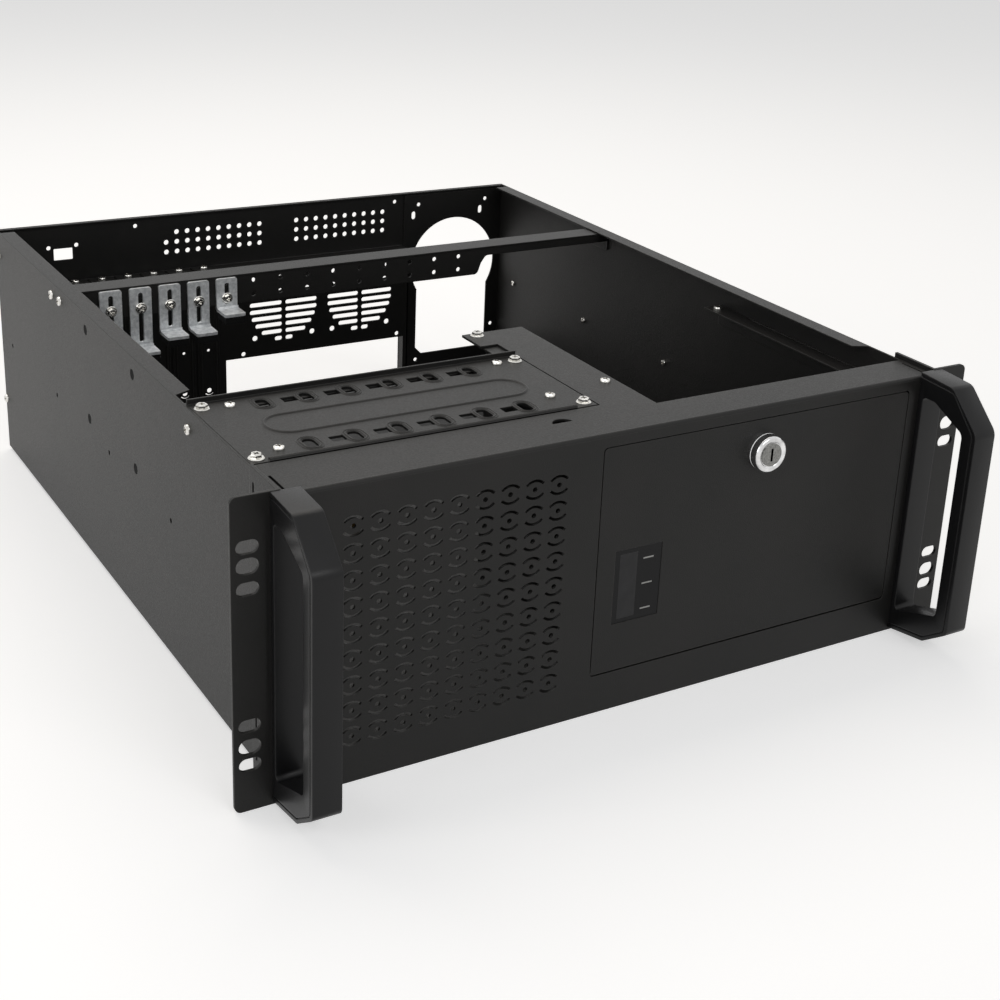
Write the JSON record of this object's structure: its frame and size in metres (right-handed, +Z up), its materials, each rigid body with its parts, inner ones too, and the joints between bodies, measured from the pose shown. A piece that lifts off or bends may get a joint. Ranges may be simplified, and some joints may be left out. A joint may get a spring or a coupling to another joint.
{
  "type": "empty rackmount server case",
  "caption": "Open-topped black steel rackmount case with ears and grip handles, a vented front, a locking door, a drive cage plate, a card bar with clamps and a rear panel",
  "frame": {"origin": "under the middle of the whole case, at the level of the ears' lower edge", "axes": "+Z up, -Y to the front (door and handles), +X to the right seen from the front"},
  "size_m": [0.4826, 0.58, 0.1778],
  "materials": {
    "black_powder_coat": "fine-textured black powder coat",
    "handle_black": "satin black coat",
    "nickel_plate": "nickel-plated steel",
    "zinc_plate": "zinc-plated sheet steel",
    "bright_chrome": "polished",
    "dark_window": "smoked plastic",
    "light_guide": "grey translucent plastic",
    "clear_lens": "diffuse lens",
    "black_plastic": "moulded",
    "black_rubber": "foam rubber",
    "brass": "turned"
  },
  "bodies": {
    "case": {"chassis_shell": "black_powder_coat", "rear_panel": "black_powder_coat", "psu_plate": "black_powder_coat", "front_panel": "black_powder_coat", "ear_bracket_left": "black_powder_coat", "ear_bracket_right": "black_powder_coat", "handle_left": "handle_black", "handle_right": "handle_black", "drive_cage_plate": "black_powder_coat", "drive_cage": "black_powder_coat", "bay_wall": "black_powder_coat", "bay_ledge": "black_powder_coat", "bay_frame": "black_powder_coat", "card_bar": "black_powder_coat", "handle_screws": "nickel_plate", "cage_screws": "nickel_plate", "clamp_screws": "nickel_plate", "door_pins": "nickel_plate", "status_leds": "clear_lens", "switch_housings": "black_plastic", "board_standoffs": "brass", "slot_cover_1": "black_powder_coat", "slot_cover_2": "black_powder_coat", "slot_cover_3": "black_powder_coat", "slot_cover_4": "black_powder_coat", "slot_cover_5": "black_powder_coat", "slot_cover_6": "black_powder_coat", "slot_cover_7": "black_powder_coat"},
    "door_leaf": {"door": "black_powder_coat", "lock_barrel": "bright_chrome", "lock_nut": "nickel_plate", "status_window": "dark_window", "light_guide": "light_guide"},
    "lock_core": {"lock_plug": "bright_chrome", "lock_cam": "zinc_plate"},
    "power_key": {"power_button": "black_plastic"},
    "reset_key": {"reset_button": "black_plastic"},
    "clamp_1": {"card_clamp_1": "zinc_plate", "clamp_pad_1": "black_rubber"},
    "clamp_2": {"card_clamp_2": "zinc_plate", "clamp_pad_2": "black_rubber"},
    "clamp_3": {"card_clamp_3": "zinc_plate", "clamp_pad_3": "black_rubber"},
    "clamp_4": {"card_clamp_4": "zinc_plate", "clamp_pad_4": "black_rubber"},
    "clamp_5": {"card_clamp_5": "zinc_plate", "clamp_pad_5": "black_rubber"}
  },
  "joints": [
    {"name": "door_hinge", "type": "hinge", "parent": "case", "child": "door_leaf", "pos_m": [0.085, -0.2374, 0.0295], "axis": [1, 0, 0], "range_deg": [0, 90]},
    {"name": "lock_turn", "type": "hinge", "parent": "door_leaf", "child": "lock_core", "pos_m": [0.085, -0.24, 0.146], "axis": [0, -1, 0], "range_deg": [0, 90]},
    {"name": "power_push", "type": "slide", "parent": "case", "child": "power_key", "axis": [0, 1, 0], "range_m": [0, 0.0015], "stiffness_N_per_m": 400},
    {"name": "reset_push", "type": "slide", "parent": "case", "child": "reset_key", "axis": [0, 1, 0], "range_m": [0, 0.0015], "stiffness_N_per_m": 400},
    {"name": "clamp_1_slide", "type": "slide", "parent": "case", "child": "clamp_1", "axis": [0, 0, 1], "range_m": [-0.0075, 0.021]},
    {"name": "clamp_2_slide", "type": "slide", "parent": "case", "child": "clamp_2", "axis": [0, 0, 1], "range_m": [-0.0075, 0.021]},
    {"name": "clamp_3_slide", "type": "slide", "parent": "case", "child": "clamp_3", "axis": [0, 0, 1], "range_m": [-0.0075, 0.0125]},
    {"name": "clamp_4_slide", "type": "slide", "parent": "case", "child": "clamp_4", "axis": [0, 0, 1], "range_m": [-0.0075, 0.0125]},
    {"name": "clamp_5_slide", "type": "slide", "parent": "case", "child": "clamp_5", "axis": [0, 0, 1], "range_m": [-0.0075, 0.0015]}
  ]
}
